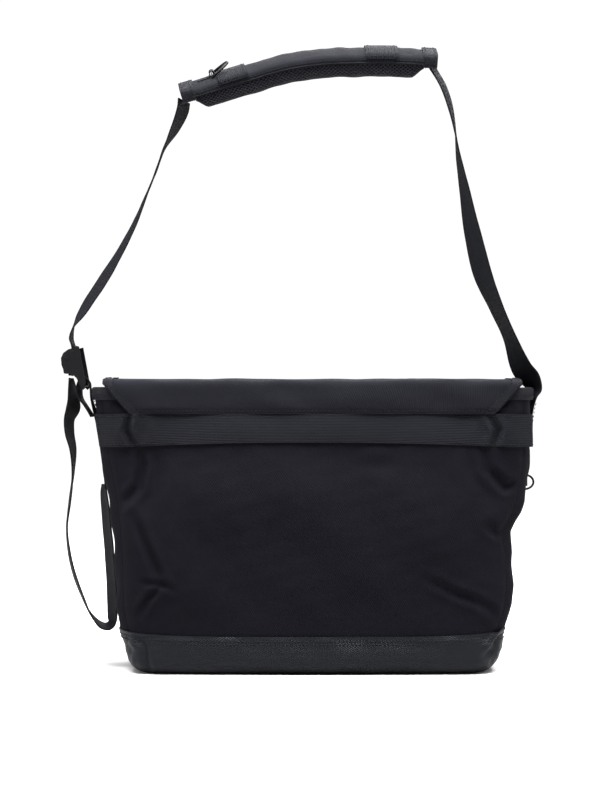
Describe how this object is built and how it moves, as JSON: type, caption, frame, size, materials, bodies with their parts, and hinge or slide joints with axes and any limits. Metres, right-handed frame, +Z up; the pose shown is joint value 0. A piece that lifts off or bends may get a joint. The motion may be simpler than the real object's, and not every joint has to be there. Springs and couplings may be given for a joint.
{
  "type": "messenger bag",
  "caption": "Black nylon messenger bag with a fold-over flap, coated base, rear webbing band, cam-buckle shoulder strap and curved pad.",
  "frame": {"origin": "middle of the underside of the coated base, which stands on the floor", "axes": "+Z up towards the shoulder pad; -Y is the back panel, against the wearer; +Y the front, under the flap; +X the side where the strap is sewn on"},
  "size_m": [0.4765, 0.1432, 0.6211],
  "materials": {
    "nylon": "matte",
    "webbing": "ribbed matte",
    "coated": "embossed semi-gloss",
    "lining": "matte",
    "foam": "matte",
    "air_mesh": "open mesh",
    "black_metal": "satin",
    "steel": "satin",
    "plastic": "satin",
    "board": "matte"
  },
  "bodies": {
    "bag": {"back_panel": "nylon", "front_panel": "nylon", "left_gusset": "nylon", "right_gusset": "nylon", "flap_back": "nylon", "front_pocket": "nylon", "pad_cover": "nylon", "back_band": "webbing", "mouth_binding": "webbing", "divider_binding": "webbing", "pocket_binding": "webbing", "flap_back_tape_left": "webbing", "flap_back_tape_right": "webbing", "zip_tape": "webbing", "strap_right_run": "webbing", "strap_left_run": "webbing", "strap_tail": "webbing", "anchor_webbing": "webbing", "strap_in_pad": "webbing", "pad_end_left": "webbing", "pad_end_right": "webbing", "pad_loop_left": "webbing", "pad_loop_right": "webbing", "pad_ring_tab": "webbing", "side_ring_tab": "webbing", "base_cup": "coated", "lining": "lining", "inner_divider": "lining", "inner_pocket": "lining", "pad_foam": "foam", "pad_mesh": "air_mesh", "loop_patch_left": "air_mesh", "loop_patch_right": "air_mesh", "buckle_frame": "black_metal", "zip_stop_left": "black_metal", "zip_stop_right": "black_metal", "buckle_pin": "steel", "zip_coil": "plastic", "base_board": "board"},
    "flap_top": {"flap_top": "nylon", "flap_top_tape_left": "webbing", "flap_top_tape_right": "webbing"},
    "flap_front": {"flap_front": "nylon", "flap_front_tape": "webbing", "hook_patch_left": "air_mesh", "hook_patch_right": "air_mesh"},
    "buckle_cam": {"buckle_cam": "steel"},
    "pad_ring": {"pad_ring": "plastic"},
    "side_ring": {"side_ring": "black_metal"},
    "zip_slider": {"zip_slider": "black_metal"},
    "zip_pull": {"zip_pull": "black_metal"}
  },
  "joints": [
    {"name": "flap_hinge", "type": "hinge", "parent": "bag", "child": "flap_top", "pos_m": [0, -0.0612, 0.2872], "axis": [1, 0, 0], "range_deg": [0, 250], "deforming": ["strap_left_run", "strap_right_run"]},
    {"name": "flap_fold", "type": "hinge", "parent": "flap_top", "child": "flap_front", "pos_m": [0, 0.0604, 0.2835], "axis": [1, 0, 0], "range_deg": [0, 90]},
    {"name": "buckle_cam", "type": "hinge", "parent": "bag", "child": "buckle_cam", "pos_m": [-0.243, 0, 0.3076], "axis": [0, 1, 0], "range_deg": [0, 55], "stiffness_Nm_per_rad": 0.02, "springref_deg": -28.65},
    {"name": "pad_ring_swing", "type": "hinge", "parent": "bag", "child": "pad_ring", "pos_m": [-0.09928, -0.00473, 0.59018], "axis": [0.079, -0.9511, -0.2987], "range_deg": [0, 100]},
    {"name": "side_ring_swing", "type": "hinge", "parent": "bag", "child": "side_ring", "pos_m": [0.21291, 0.004, 0.18393], "axis": [0, 0, 1], "range_deg": [-75, 75]},
    {"name": "zip_slide", "type": "slide", "parent": "bag", "child": "zip_slider", "axis": [-1, 0, 0], "range_m": [0, 0.226]},
    {"name": "zip_pull_swing", "type": "hinge", "parent": "zip_slider", "child": "zip_pull", "pos_m": [0.1135, -0.0192, 0.183], "axis": [0, 0, -1], "range_deg": [0, 175]}
  ],
  "couplings": [
    {"joint": "flap_fold", "follows": "flap_hinge", "ratio": 0.36}
  ]
}
